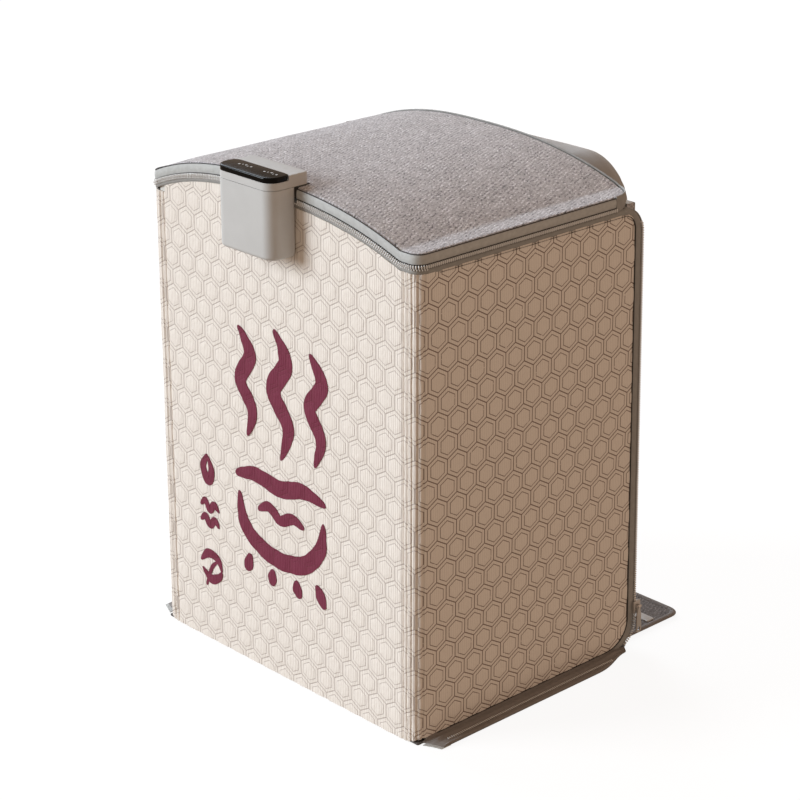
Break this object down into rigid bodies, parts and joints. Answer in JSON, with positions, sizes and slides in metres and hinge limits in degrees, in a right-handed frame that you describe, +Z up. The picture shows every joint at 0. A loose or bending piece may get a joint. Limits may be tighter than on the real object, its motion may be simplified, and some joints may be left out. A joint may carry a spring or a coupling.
{
  "type": "portable steam sauna",
  "caption": "Folding padded box that warms the feet and calves, with a domed zip-on cover, a rear leg sleeve, a floor flap and a hook-on control pod.",
  "frame": {"origin": "on the floor under the box, 155 mm behind the printed front wall and midway between the side walls", "axes": "+Z up; -Y towards the printed front wall that carries the control pod; +X to the right of someone who faces that wall"},
  "size_m": [0.444, 0.4521, 0.558],
  "materials": {
    "printed_fabric": "cream ribbed fabric with thin brown hexagon lines",
    "foam": "matte foam board",
    "heating_film": "black carbon heating film",
    "lining": "coated inner lining",
    "linen": "heather grey linen twill",
    "zip_tape": "grey woven zip tape",
    "satin": "light grey satin",
    "grip_fabric": "black ribbed grip fabric",
    "slider_metal": "grey plated zinc",
    "pod_plastic": "light grey matte plastic",
    "pod_glass": "black gloss touch panel",
    "circuit_board": "green circuit board",
    "black_plastic": "black plastic"
  },
  "bodies": {
    "box": {"front_wall_skin": "printed_fabric", "front_wall_zip": "zip_tape", "front_wall_board": "foam", "front_heating_film": "heating_film", "front_wall_lining": "lining", "base_underside": "grip_fabric", "base_board": "foam", "base_heating_film": "heating_film", "base_lining": "lining", "base_rear_bend": "linen", "base_zip_right": "zip_tape", "base_zip_left": "zip_tape", "lead_socket": "black_plastic", "film_lead": "heating_film", "temperature_sensor": "black_plastic"},
    "right_wall": {"right_wall_skin": "printed_fabric", "right_wall_zip": "zip_tape", "right_wall_board": "foam", "right_heating_film": "heating_film", "right_wall_lining": "lining"},
    "left_wall": {"left_wall_skin": "printed_fabric", "left_wall_zip": "zip_tape", "left_wall_board": "foam", "left_heating_film": "heating_film", "left_wall_lining": "lining"},
    "rear_panel": {"rear_panel_skin": "linen", "rear_panel_board": "foam", "rear_panel_lining": "lining", "rear_zip_right": "zip_tape", "rear_zip_left": "zip_tape", "leg_sleeve": "satin", "sleeve_elastic_mouth": "satin"},
    "floor_flap": {"floor_flap": "linen", "floor_flap_binding": "zip_tape"},
    "cover": {"cover_skin": "linen", "cover_foam": "foam", "cover_lining": "lining", "cover_zip_left": "zip_tape", "cover_zip_right": "zip_tape", "cover_rear_binding": "zip_tape"},
    "pod": {"pod_shell": "pod_plastic", "pod_cap": "pod_plastic", "pod_glass": "pod_glass", "pod_touch_board": "circuit_board", "pod_display": "black_plastic", "pod_power_board": "circuit_board", "pod_relay": "black_plastic", "pod_supply_inlet": "black_plastic"},
    "right_slider": {"rear_slider_right": "slider_metal"},
    "right_pull": {"rear_pull_right": "slider_metal"},
    "left_slider": {"rear_slider_left": "slider_metal"},
    "left_pull": {"rear_pull_left": "slider_metal"},
    "cover_slider": {"cover_slider": "slider_metal"},
    "cover_pull": {"cover_pull": "slider_metal"}
  },
  "joints": [
    {"name": "cover_open", "type": "hinge", "parent": "rear_panel", "child": "cover", "pos_m": [-0.03, 0.159, 0.5475], "axis": [-1, 0, 0], "range_deg": [0, 110]},
    {"name": "rear_panel_open", "type": "hinge", "parent": "box", "child": "rear_panel", "pos_m": [0, 0.1712, 0.0383], "axis": [-1, 0, 0], "range_deg": [0, 75]},
    {"name": "right_wall_swing", "type": "hinge", "parent": "box", "child": "right_wall", "pos_m": [0.2, -0.143, 0.25], "axis": [0, 0, -1], "range_deg": [0, 90]},
    {"name": "left_wall_swing", "type": "hinge", "parent": "box", "child": "left_wall", "pos_m": [-0.2, -0.143, 0.25], "axis": [0, 0, 1], "range_deg": [0, 90]},
    {"name": "floor_flap_fold", "type": "hinge", "parent": "box", "child": "floor_flap", "pos_m": [0, 0.1716, 0.0048], "axis": [-1, 0, 0], "range_deg": [-78, 0]},
    {"name": "pod_lift", "type": "slide", "parent": "box", "child": "pod", "axis": [0, 0, 1], "range_m": [0, 0.08]},
    {"name": "right_slider_travel", "type": "slide", "parent": "right_wall", "child": "right_slider", "axis": [0, -0.024, 0.9997], "range_m": [0, 0.4]},
    {"name": "right_pull_swing", "type": "hinge", "parent": "right_slider", "child": "right_pull", "pos_m": [0.2066, 0.16986, 0.0475], "axis": [0, -1, 0], "range_deg": [0, 120]},
    {"name": "left_slider_travel", "type": "slide", "parent": "left_wall", "child": "left_slider", "axis": [0, -0.024, 0.9997], "range_m": [0, 0.4]},
    {"name": "left_pull_swing", "type": "hinge", "parent": "left_slider", "child": "left_pull", "pos_m": [-0.2066, 0.16986, 0.0475], "axis": [0, 1, 0], "range_deg": [0, 120]},
    {"name": "cover_slider_travel", "type": "slide", "parent": "cover", "child": "cover_slider", "axis": [0, -1, 0], "range_m": [0, 0.2]},
    {"name": "cover_pull_swing", "type": "hinge", "parent": "cover_slider", "child": "cover_pull", "pos_m": [-0.2066, 0.0985, 0.5036], "axis": [0, 0, 1], "range_deg": [0, 120]}
  ]
}
